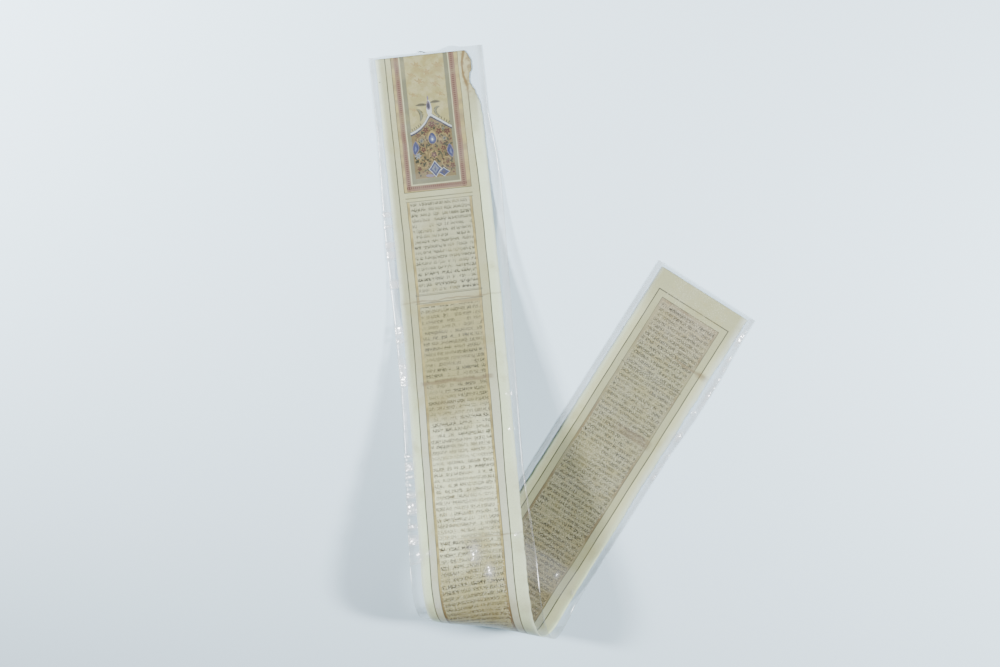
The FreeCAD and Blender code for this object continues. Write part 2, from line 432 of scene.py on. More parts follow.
def paperMaterial():
    material = bpy.data.materials.new("agedPaper")
    material.use_nodes = True
    tree = material.node_tree
    surface = tree.nodes["Principled BSDF"]
    uv = tree.nodes.new("ShaderNodeUVMap")
    uv.uv_map = "sheetPlan"
    plan = uv.outputs[0]
    split = tree.nodes.new("ShaderNodeSeparateXYZ")
    tree.links.new(plan, split.inputs[0])
    trueAcross = split.outputs[0]
    down = split.outputs[1]
    side = tree.nodes.new("ShaderNodeAttribute")
    side.attribute_name = "backSide"
    onBack = side.outputs["Fac"]

    # Hand-ruled lines waver a little, and the right one bends in by the torn corner
    waver = sums(tree, "MULTIPLY", sums(tree, "SUBTRACT", grain(tree, joined(tree, 0.0, down), 0.03, 2.0), 0.5), 0.9)
    pulled = both(tree, lineMask(tree, down, 14.0, 2.0, 14.0), ramped(tree, trueAcross, 24.0, 29.0), 3.2)
    outerSide = both(tree, ramped(tree, trueAcross, 26.5, 29.0), ramped(tree, down, 60.0, 110.0),
                     ramped(tree, down, 340.0, 290.0))
    wider = both(tree, ramped(tree, trueAcross, 6.0, 18.0), either(tree, outerSide, ramped(tree, down, 500.0, 560.0)), 1.1)
    across = sums(tree, "ADD", sums(tree, "ADD", trueAcross, waver), sums(tree, "SUBTRACT", pulled, wider))

    # Paper ground: margins, the strip between the rulings, and the written field, duller on the back
    endFade = ramped(tree, down, 735.0, 775.0)
    rimward = ramped(tree, sums(tree, "ABSOLUTE", trueAcross), 35.0, 41.0)
    inner = blend(tree, ramped(tree, down, 220.0, 320.0), tint("marginInner"), tint("marginRight"))
    inner = blend(tree, both(tree, ramped(tree, trueAcross, 26.0, 30.0), bandMask(tree, down, 80.0, 320.0, 40.0)),
                  inner, tint("marginRight"))
    margin = blend(tree, rimward, inner, tint("marginPale"))
    duller = both(tree, bandMask(tree, down, 340.0, 430.0, 20.0), ramped(tree, trueAcross, 26.0, 34.0), 0.7)
    margin = blend(tree, duller, margin, tint("margin"))
    backMargin = blend(tree, rimward, tint("marginLow"), tint("marginRight"))
    margin = blend(tree, onBack, margin, backMargin)
    margin = blend(tree, endFade, margin, tint("marginEnd"))
    strip = blend(tree, ramped(tree, down, 215.0, 300.0), tint("strip"), tint("stripPale"))
    strip = blend(tree, ramped(tree, down, 440.0, 560.0), strip, tint("strip"))
    strip = blend(tree, ramped(tree, down, 690.0, 750.0), strip, tint("marginEnd"))
    patches = sums(tree, "SUBTRACT", grain(tree, plan, 0.045, 3.0), 0.5)
    drifted = sums(tree, "ADD", down, both(tree, patches, ramped(tree, down, 200.0, 240.0, 0.0, 90.0)))
    drifted = sums(tree, "ADD", drifted, sums(tree, "MULTIPLY", across, 0.25))
    # The pale stretch of the field, from 315 to 370 down the sheet, is a painted sheen
    front = tintRamp(tree, drifted, ((112, "fieldTop"), (193, "fieldTop"), (203, "fieldWarm"), (275, "fieldWarm"),
                                     (315, "fieldPaintedSheen"), (370, "fieldPaintedSheen"), (400, "fieldLow")))
    # The lower leg's back turns browner towards the fold, and darker there with painted shade from the loop above it
    back = tintRamp(tree, down, ((480, "backLowWithShade"), (590, "backHigh"), (720, "backHigh"), (765, "backEnd")))
    field = blend(tree, onBack, front, back)
    shown = blend(tree, rectMask(tree, across, down, -33.0, 30.8, 769.8), margin, tint("rule"))
    shown = blend(tree, rectMask(tree, across, down, -32.15, 29.95, 768.9), shown, strip)
    shown = blend(tree, rectMask(tree, across, down, -27.2, 24.8, 764.9), shown, tint("rule"))
    # Painted glint and shade on the gilding: bright gold and shaded gold mixed in a noise pattern
    paintedGoldShade = ramped(tree, grain(tree, joined(tree, sums(tree, "MULTIPLY", across, 0.3), down), 0.11, 3.0), 0.4, 0.65, 0.0, 0.7)
    goldTint = blend(tree, paintedGoldShade, tint("gold"), tint("shadedGold"))
    goldTint = blend(tree, ramped(tree, down, 405.0, 440.0), goldTint, tint("backGold"))
    worn = ramped(tree, grain(tree, joined(tree, across, down), 0.03, 2.0), 0.4, 0.6, 0.25, 0.85)
    goldTint = blend(tree, both(tree, onBack, worn), goldTint, field)
    shown = blend(tree, rectMask(tree, across, down, -26.8, 24.4, 764.4), shown, goldTint)
    shown = blend(tree, rectMask(tree, across, down, -24.9, 22.5, 763.0), shown, field)

    # Nested bands of the headpiece
    beads = sums(tree, "SINE", sums(tree, "MULTIPLY", down, 3.9))
    acrossBeads = sums(tree, "SINE", sums(tree, "MULTIPLY", across, 3.9))
    beadRows = either(tree, both(tree, either(tree, lineMask(tree, across, -23.8, 0.6, 0.5), lineMask(tree, across, 19.7, 0.6, 0.5)),
                                 ramped(tree, beads, -0.3, 0.4)),
                      both(tree, lineMask(tree, down, 104.3, 0.6, 0.5), ramped(tree, acrossBeads, -0.3, 0.4)))
    roseTint = blend(tree, sums(tree, "MULTIPLY", beadRows, 0.95), tint("rose"), tint("darkRose"))
    head = blend(tree, rectMask(tree, across, down, -27.8, 25.4, 115.0), shown, tint("strip"))
    headGold = blend(tree, ramped(tree, paintedGoldShade, 0.0, 1.0, 0.25, 0.85), goldTint, tint("tan"))
    head = blend(tree, rectMask(tree, across, down, -28.3, 25.4, 107.9), head, tint("olive"))
    head = blend(tree, rectMask(tree, across, down, -27.8, 25.0, 107.4), head, headGold)
    head = blend(tree, rectMask(tree, across, down, -25.7, 22.0, 106.8), head, roseTint)
    head = blend(tree, rectMask(tree, across, down, -21.9, 17.6, 102.6), head, tint("strip"))
    head = blend(tree, rectMask(tree, across, down, -20.9, 16.8, 101.6), head, tint("greyGreen"))
    clouds = grain(tree, plan, 0.13, 3.0)
    cream = blend(tree, ramped(tree, clouds, 0.42, 0.62), tint("cream"), tint("creamLight"))
    cream = blend(tree, both(tree, ramped(tree, clouds, 0.5, 0.4), ramped(tree, down, 45.0, 10.0), 0.5), cream, tint("creamGold"))
    head = blend(tree, rectMask(tree, across, down, -17.5, 13.4, 97.6), head, cream)
    shown = blend(tree, onBack, head, shown)

    # Cross rules between the parts of the text
    slanted = sums(tree, "SUBTRACT", down, sums(tree, "MULTIPLY", across, 0.03))
    crossRules = both(tree, bandMask(tree, across, -27.8, 25.6), either(
        tree, lineMask(tree, down, 112.5, 0.35), lineMask(tree, down, 115.3, 0.2), lineMask(tree, down, 189.2, 0.15),
        lineMask(tree, down, 190.2, 0.3), lineMask(tree, down, 196.4, 0.3),
        lineMask(tree, slanted, 706.4, 0.3)))
    goldRule = both(tree, bandMask(tree, across, -25.5, 23.5), either(
        tree, bandMask(tree, down, 197.2, 199.2, 0.3), lineMask(tree, down, 763.2, 0.7)))
    shown = blend(tree, sums(tree, "MULTIPLY", goldRule, 0.85), shown, goldTint)
    shown = blend(tree, sums(tree, "MULTIPLY", crossRules, 0.8), shown, tint("rule"))
    ink = sums(tree, "MULTIPLY", writtenRows(tree, plan, across, down), sums(tree, "SUBTRACT", 1.0, sums(tree, "MULTIPLY", onBack, 0.1)))
    shown = blend(tree, ink, shown, tint("ink"))

    flecks = both(tree, ramped(tree, grain(tree, joined(tree, down, across), 1.1, 1.0), 0.57, 0.63),
                  bandMask(tree, across, -25.5, 23.5), ramped(tree, down, 250.0, 400.0))
    fleckTint = blend(tree, ramped(tree, grain(tree, plan, 0.12, 1.0), 0.4, 0.5), tint("fleck"), tint("paleFleck"))
    shown = blend(tree, both(tree, flecks, ramped(tree, onBack, 0.0, 1.0, 0.75, 0.5)), shown, fleckTint)

    # Age: mottling, brown stains by the torn corner and near the tail, painted shade about the fold, and darker brown
    # lines along the creases
    mottle = grain(tree, plan, 0.05, 5.0)
    shown = blend(tree, ramped(tree, mottle, 0.5, 0.72, 0.0, 0.4), shown, tint("fieldWarm"))
    fibre = grain(tree, plan, 0.9, 3.0)
    shown = blend(tree, ramped(tree, fibre, 0.5, 0.75, 0.0, 0.22), shown, tint("stainAndShadeBrown"))
    corner = both(tree, ramped(tree, across, 26.5, 30.5), ramped(tree, down, 22.0, 44.0, 1.0, 0.0))
    spots = ramped(tree, grain(tree, plan, 0.25, 4.0), 0.46, 0.6)
    shown = blend(tree, sums(tree, "MULTIPLY", corner, 0.8), shown, tint("cornerStain"))
    shown = blend(tree, both(tree, corner, spots, 0.7), shown, tint("stainAndShadeBrown"))
    tear = both(tree, lineMask(tree, across, 30.5, 0.8, 0.7), ramped(tree, down, 22.0, 40.0, 0.9, 0.0))
    shown = blend(tree, tear, shown, tint("stainAndShadeBrown"))
    tailSpot = both(tree, lineMask(tree, trueAcross, 33.0, 2.0, 5.0), lineMask(tree, down, 728.0, 1.0, 3.0))
    warmPatch = both(tree, lineMask(tree, trueAcross, -8.0, 3.0, 14.0), lineMask(tree, down, 282.0, 4.0, 14.0))
    # Painted shade: the paper is browned about the bottom of the fold, where it turns away from the light
    foldShade = bandMask(tree, down, 440.0, 470.0, 22.0)
    stainsAndFoldShade = either(tree, sums(tree, "MULTIPLY", tailSpot, 0.6), sums(tree, "MULTIPLY", warmPatch, 0.22),
                     sums(tree, "MULTIPLY", foldShade, 0.35))
    shown = blend(tree, both(tree, stainsAndFoldShade, ramped(tree, mottle, 0.3, 0.6, 0.4, 1.0)), shown, tint("stainAndShadeBrown"))
    # Darker brown lines along the creases
    creaseOff = sums(tree, "ADD", down, sums(tree, "MULTIPLY", sums(tree, "SUBTRACT", grain(tree, plan, 0.08, 2.0), 0.5), 4.0))
    onField = bandMask(tree, trueAcross, -27.0, 26.0, 4.0)
    creaseLines = either(tree, lineMask(tree, creaseOff, 195.0, 0.2, 0.8),
                  both(tree, lineMask(tree, creaseOff, 260.0, 0.8, 1.6), onField),
                  both(tree, lineMask(tree, creaseOff, 380.5, 0.2, 0.9), ramped(tree, trueAcross, -30.0, 28.0, 0.1, 0.9)),
                  both(tree, lineMask(tree, creaseOff, 659.0, 2.0, 3.0), ramped(tree, trueAcross, -18.0, 10.0), onField, 0.8),
                  both(tree, lineMask(tree, creaseOff, 728.3, 0.5, 1.2), ramped(tree, trueAcross, 2.0, 14.0)))
    creaseLines = both(tree, creaseLines, ramped(tree, sums(tree, "ABSOLUTE", trueAcross), 24.0, 34.0, 0.6, 0.3))
    shown = blend(tree, creaseLines, shown, tint("backGold"))
    rightFray = both(tree, ramped(tree, trueAcross, 33.0, 40.0), ramped(tree, down, 560.0, 640.0))
    leftFray = sums(tree, "MULTIPLY", ramped(tree, trueAcross, -37.0, -40.3), 0.6)
    frayed = both(tree, either(tree, rightFray, leftFray), ramped(tree, mottle, 0.3, 0.6, 0.4, 1.0))
    shown = blend(tree, sums(tree, "MULTIPLY", frayed, 0.85), shown, tint("frayed"))

    # Painted light: the sheet's colour is scaled brighter about the fold than at its ends
    paintedLightNearFold = both(tree, ramped(tree, down, 230.0, 440.0), ramped(tree, down, 690.0, 470.0))
    paintedLightScale = tree.nodes.new("ShaderNodeVectorMath")
    paintedLightScale.operation = "SCALE"
    tree.links.new(shown, paintedLightScale.inputs[0])
    tree.links.new(sums(tree, "ADD", sums(tree, "MULTIPLY", paintedLightNearFold, 0.3), 0.99), paintedLightScale.inputs["Scale"])
    tree.links.new(paintedLightScale.outputs[0], surface.inputs["Base Color"])
    tree.links.new(ramped(tree, fibre, 0.3, 0.7, 0.7, 0.88), surface.inputs["Roughness"])
    surface.inputs["Specular IOR Level"].default_value = 0.25
    bump = tree.nodes.new("ShaderNodeBump")
    bump.inputs["Distance"].default_value = 0.00012
    bump.inputs["Strength"].default_value = 0.6
    tree.links.new(sums(tree, "ADD", fibre, sums(tree, "MULTIPLY", mottle, 3.0)), bump.inputs["Height"])
    tree.links.new(bump.outputs[0], surface.inputs["Normal"])
    return material


def filmMaterial():
    material = bpy.data.materials.new("clearFilm")
    material.use_nodes = True
    tree = material.node_tree
    tree.nodes.remove(tree.nodes["Principled BSDF"])
    output = tree.nodes["Material Output"]
    uv = tree.nodes.new("ShaderNodeUVMap")
    uv.uv_map = "sheetPlan"
    split = tree.nodes.new("ShaderNodeSeparateXYZ")
    tree.links.new(uv.outputs[0], split.inputs[0])
    across = split.outputs[0]
    down = split.outputs[1]

    # Puckers where the film is pinched, and slack ripples elsewhere
    pinched = tree.nodes.new("ShaderNodeAttribute")
    pinched.attribute_name = "pucker"
    pucker = grain(tree, joined(tree, sums(tree, "MULTIPLY", across, 0.8), down), 0.3, 1.0)
    ripple = grain(tree, joined(tree, sums(tree, "MULTIPLY", across, 0.5), down), 0.07, 2.0)
    height = sums(tree, "ADD", both(tree, pinched.outputs["Fac"], pucker), sums(tree, "MULTIPLY", ripple, 0.3))
    bump = tree.nodes.new("ShaderNodeBump")
    bump.inputs["Distance"].default_value = 0.0025
    bump.inputs["Strength"].default_value = 0.6
    tree.links.new(height, bump.inputs["Height"])

    clear = tree.nodes.new("ShaderNodeBsdfTransparent")
    edge = both(tree, ramped(tree, sums(tree, "ABSOLUTE", across), 40.0, 43.0), ramped(tree, ripple, 0.35, 0.65, 0.5, 1.0))
    tree.links.new(blend(tree, edge, film["clear"], film["edge"]), clear.inputs["Color"])
    haze = tree.nodes.new("ShaderNodeBsdfDiffuse")
    haze.inputs["Color"].default_value = (0.84, 0.87, 0.89, 1)
    shine = tree.nodes.new("ShaderNodeBsdfGlossy")
    shine.inputs["Roughness"].default_value = 0.2
    tree.links.new(bump.outputs[0], shine.inputs["Normal"])
    fresnel = tree.nodes.new("ShaderNodeFresnel")
    fresnel.inputs["IOR"].default_value = 1.45
    milkyWithPaintedSheen = tree.nodes.new("ShaderNodeMixShader")
    # Painted reflection: a milky band across the film over the lower leg near the fold
    paintedReflectionBand = both(tree, bandMask(tree, down, 524.0, 540.0, 9.0), bandMask(tree, across, -12.0, 32.0, 8.0), 0.11)
    # Painted sheen: soft white spots of haze about the puckers
    paintedSheenSpots = sums(tree, "MULTIPLY", sums(tree, "POWER", pinched.outputs["Fac"], 1.5), 0.3)
    hazeAndReflectionBand = either(tree, ramped(tree, ripple, 0.4, 0.7, 0.01, 0.035), paintedReflectionBand)
    # A milky rim on the film past the paper's edges, partly painted light that lifts the shadow beside the paper
    hazyRimLift = both(tree, ramped(tree, sums(tree, "ABSOLUTE", across), 38.5, 41.5, 0.0, 0.1),
               either(tree, ramped(tree, down, 320.0, 260.0), ramped(tree, down, 560.0, 620.0)))
    tree.links.new(sums(tree, "ADD", either(tree, hazeAndReflectionBand, hazyRimLift), paintedSheenSpots), milkyWithPaintedSheen.inputs[0])
    tree.links.new(clear.outputs[0], milkyWithPaintedSheen.inputs[1])
    tree.links.new(haze.outputs[0], milkyWithPaintedSheen.inputs[2])
    glossy = tree.nodes.new("ShaderNodeMixShader")
    gloss = sums(tree, "ADD", fresnel.outputs[0], sums(tree, "MULTIPLY", pinched.outputs["Fac"], 0.1))
    tree.links.new(sums(tree, "MINIMUM", gloss, 0.22), glossy.inputs[0])
    tree.links.new(milkyWithPaintedSheen.outputs[0], glossy.inputs[1])
    tree.links.new(shine.outputs[0], glossy.inputs[2])
    tree.links.new(glossy.outputs[0], output.inputs["Surface"])
    return material


def flatGrid(width, length, columns, rowStep, extra=0.0):
    bm = bmesh.new()
    rows = int(round((length + 2 * extra) / rowStep))
    bmesh.ops.create_grid(bm, x_segments=columns, y_segments=rows, size=0.5)
    bmesh.ops.scale(bm, vec=(width, length + 2 * extra, 1), verts=bm.verts)
    bmesh.ops.translate(bm, vec=(0, -length / 2, 0), verts=bm.verts)
    return bm


def makePaper():
    bm = flatGrid(paper["width"], sheetLength, paper["columns"], paper["rowStep"])
    bmesh.ops.translate(bm, vec=(0, 0, paper["thickness"] / 2), verts=bm.verts)
    bmesh.ops.solidify(bm, geom=bm.faces[:], thickness=paper["thickness"])
    bmesh.ops.recalc_face_normals(bm, faces=bm.faces)
    half = paper["width"] / 2
    for v in bm.verts:
        x = v.co.x
        down = -v.co.y
        if x > half - 12:
            v.co.x = half - 12 + (x - half + 12) * (rightEdge(down) - half + 12) / 12
        if x < 6 - half:
            v.co.x = 6 - half + (x + half - 6) * (leftEdge(down) - 6 + half) / -6
        v.co.z += (paperRelief(v.co.x, down) - paper["edgeDrop"] * float(smoothStep(34, half, abs(v.co.x)))) * bedSide(down)
    addPlan(bm)
    backSide = bm.faces.layers.float.new("backSide")
    for face in bm.faces:
        face[backSide] = 1.0 if face.normal.z < 0.5 else 0.0
    foldOver(bm)
    return newObject("paperSheet", bm, paperMaterial())


def puckerAt(x, down):
    # Where the film is pinched: in beads down its left edge, along the end of the right edge, and in small spots
    start = 0.0
    for first, last in film["beads"]:
        if first < down < last:
            start = max(start, float(smoothStep(-36, -40, x)) * float(smoothStep(-0.1, 0.25, noiseAt(3, down, 5.0, 6.2))))
    if down > 640:
        start = max(start, 0.5 * float(smoothStep(40, 43, x)) * float(smoothStep(0.0, 0.3, noiseAt(9, down, 7.0, 2.6))))
    for across, place, size in film["puckers"]:
        start = max(start, math.exp(-((x - across) / (0.45 * size)) ** 2 - ((down - place) / (0.8 * size)) ** 2))
    return start


def makeFilm():
    bm = flatGrid(film["width"], sheetLength, film["columns"], film["rowStep"], film["overhang"])
    bmesh.ops.translate(bm, vec=(0, 0, film["room"]), verts=bm.verts)
    bmesh.ops.solidify(bm, geom=bm.faces[:], thickness=2 * film["room"])
    bmesh.ops.recalc_face_normals(bm, faces=bm.faces)
    ends = (-film["overhang"] - sheetLength, film["overhang"])
    mouths = [f for f in bm.faces if all(min(abs(v.co.y - e) for e in ends) < 0.01 for v in f.verts)]
    bmesh.ops.delete(bm, geom=mouths, context="FACES_ONLY")
    addPlan(bm)
    half = film["width"] / 2
    pinch = bm.verts.layers.float.new("pucker")
    for v in bm.verts:
        x = v.co.x
        down = -v.co.y
        side = bedSide(down)
        v[pinch] = puckerAt(x, down)
        inward = float(smoothStep(0, 4.5, half - abs(x)))
        flatness = film["edgeRoom"] + (1 - film["edgeRoom"]) * inward
        upper = v.co.z * side > 0
        v.co.z *= flatness
        if upper:
            lift = paperRelief(x, down)
            lift += film["ripple"] * max(0.0, noiseAt(x, down * 0.6, 9.0, 12.0))
            v.co.z += lift * side * inward
        if down < 8:
            v.co.y -= (0.5 + 0.5 * noiseAt(x, 0, 9.0, 2.0)) * 1.6 * (1 - down / 8) * (1 - smoothStep(8, 16, x))
            v.co.y += film["hook"] * math.exp(-((x - 20) / 5.5) ** 2) * (1 - down / 8)
        if abs(x) > 30:
            outline = film["right"] if x > 0 else film["left"]
            reach = float(np.interp(down, [p[0] for p in outline], [p[1] for p in outline]))
            v.co.x += math.copysign((abs(x) - 30) * (reach - half) / (half - 30), x)
    foldOver(bm)
    return newObject("clearSleeve", bm, filmMaterial())


paperSheet = makePaper()
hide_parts("scroll_sheet")
print("paper sheet made")
sleeve = makeFilm()
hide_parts("clear_sleeve")
print("sleeve made")


# Headpiece drawn on the printed side: places are across the sheet and down from its head end
headpiece = {
    "arch": ((-17.9, 63.1), (-13.5, 61.3), (-9.4, 58.8), (-5.8, 55.3), (-3.2, 51.6), (-1.4, 49.2),
             (0.3, 50.6), (2.6, 52.2), (5.8, 54.2), (10.0, 57.2), (14.3, 60.2)),
    "bottom": 97.6,
    "bandHeight": 3.0,
    "redFlowers": ((-0.9, 55.8, 2.0), (-6.2, 59.5, 1.7), (4.1, 61.5, 1.9), (10.8, 62.3, 1.9), (-12.6, 63.6, 1.4),
                   (6.4, 75.1, 1.5), (-9.5, 75.0, 1.5), (12.3, 89.5, 1.6), (-14.0, 89.8, 1.3), (8.6, 86.4, 1.2)),
    "greyFlowers": ((-10.3, 68.0, 2.1), (8.0, 67.5, 2.0), (7.6, 59.6, 1.4)),
    "goldFlowers": ((-8.3, 7.5, 2.6), (-0.5, 14.0, 2.9), (8.2, 9.0, 2.7), (-6.9, 20.6, 2.6), (5.0, 24.0, 2.4),
                    (-13.0, 31.0, 2.0), (-13.4, 43.0, 1.7), (8.4, 32.0, 2.0), (-12.8, 15.0, 1.8), (8.8, 19.0, 1.6)),
    "spirals": ((-9.6, 66.8, 4.6, 1), (7.4, 65.6, 4.6, -1), (-9.8, 86.0, 4.8, -1), (8.4, 85.6, 4.8, 1), (-1.4, 79.9, 4.6, 1)),
    "scattered": 300,
    "lift": 0.03,
}


def archAt(x):
    return float(np.interp(x, [p[0] for p in headpiece["arch"]], [p[1] for p in headpiece["arch"]]))


def addPatch(art, outline, name, layer):
    # One flat painted shape lying on the paper; higher layers cover lower ones
    bm, colours = art
    verts = []
    for x, down in outline:
        height = paperRelief(x, down) + paper["thickness"] / 2 + headpiece["lift"] + 0.012 * layer
        verts.append(bm.verts.new((x, -down, height)))
    face = bm.faces.new(verts)
    for loop in face.loops:
        loop[colours] = tint(name)


def turned(points, x, down, angle):
    c = math.cos(angle)
    s = math.sin(angle)
    return [(x + px * c - py * s, down + px * s + py * c) for px, py in points]


def addLeaf(art, x, down, length, width, angle, name, layer, bend=0.0):
    steps = 7
    upper = []
    lower = []
    for i in range(steps + 1):
        share = i / steps
        half = width / 2 * math.sin(math.pi * share) ** 0.8
        middle = bend * math.sin(math.pi * share)
        upper.append(((share - 0.5) * length, middle + half))
        lower.append(((share - 0.5) * length, middle - half))
    addPatch(art, turned(upper + lower[-2:0:-1], x, down, angle), name, layer)


def addFlower(art, x, down, radius, petals, name, layer, phase=0.0):
    outline = []
    for i in range(petals * 8):
        angle = 2 * math.pi * i / (petals * 8)
        reach = radius * (0.74 + 0.26 * math.cos(petals * angle))
        outline.append((reach * math.cos(angle + phase), reach * math.sin(angle + phase)))
    addPatch(art, turned(outline, x, down, 0.0), name, layer)


def addDrop(art, x, down, width, height, name, layer):
    # A teardrop with its point up, for palmettes and their halos
    outline = []
    for i in range(24):
        angle = 2 * math.pi * i / 24
        narrowing = 0.5 + 0.5 * math.cos(angle / 2) ** 2 if angle <= math.pi else 0.5 + 0.5 * math.cos(math.pi - angle / 2) ** 2
        outline.append((width / 2 * math.sin(angle) * (1.45 - 0.75 * narrowing), -height / 2 * math.cos(angle)))
    addPatch(art, turned(outline, x, down, 0.0), name, layer)


def addDiamond(art, x, down, width, height, name, layer):
    corners = ((0, -height / 2), (width * 0.3, -height * 0.16), (width / 2, 0), (width * 0.3, height * 0.16),
               (0, height / 2), (-width * 0.3, height * 0.16), (-width / 2, 0), (-width * 0.3, -height * 0.16))
    addPatch(art, turned(corners, x, down, 0.0), name, layer)


def addRibbon(art, path, widths, name, layer):
    # A painted line of the given widths along a path
    for i in range(len(path) - 1):
        (x0, d0), (x1, d1) = path[i], path[i + 1]
        length = math.hypot(x1 - x0, d1 - d0) + 1e-9
        nx, nd = -(d1 - d0) / length, (x1 - x0) / length
        w0, w1 = widths[i] / 2, widths[i + 1] / 2
        addPatch(art, ((x0 + nx * w0, d0 + nd * w0), (x1 + nx * w1, d1 + nd * w1),
                       (x1 - nx * w1, d1 - nd * w1), (x0 - nx * w0, d0 - nd * w0)), name, layer)


def addSpiral(art, x, down, radius, turn, name, layer):
    path = []
    for i in range(26):
        share = i / 25
        angle = turn * (math.pi * 0.5 + share * math.pi * 2.6)
        reach = radius * (1 - 0.75 * share)
        path.append((x + reach * math.cos(angle), down + reach * math.sin(angle)))
    addRibbon(art, path, [0.5 - 0.15 * i / 25 for i in range(26)], name, layer)


def addPanel(art):
    # Gold ground between the arch and the lower bands, in cells that follow the paper
    left = headpiece["arch"][0][0]
    right = headpiece["arch"][-1][0]
    columns = 24
    rows = 18
    for i in range(columns):
        x0 = left + (right - left) * i / columns
        x1 = left + (right - left) * (i + 1) / columns
        for j in range(rows):
            corners = []
            for x, k in ((x0, j), (x1, j), (x1, j + 1), (x0, j + 1)):
                top = archAt(x)
                corners.append((x, top + (headpiece["bottom"] - top) * k / rows))
            addPatch(art, corners, "ochre", 0)
    for i in range(columns):
        x0 = left - 0.4 + (right - left + 0.8) * i / columns
        x1 = left - 0.4 + (right - left + 0.8) * (i + 1) / columns
        thick0 = headpiece["bandHeight"] * (0.75 + 0.35 * math.exp(-abs(x0 + 1.4) / 3))
        thick1 = headpiece["bandHeight"] * (0.75 + 0.35 * math.exp(-abs(x1 + 1.4) / 3))
        top0, top1 = archAt(x0), archAt(x1)
        addPatch(art, ((x0, top0 - thick0 - 0.45), (x1, top1 - thick1 - 0.45), (x1, top1), (x0, top0)), "olive", 1)
        addPatch(art, ((x0, top0 - thick0), (x1, top1 - thick1), (x1, top1 - 0.45), (x0, top0 - 0.45)), "white", 2)
        addPatch(art, ((x0, top0 - 0.8), (x1, top1 - 0.8), (x1, top1 + 0.6), (x0, top0 + 0.6)), "navy", 3)


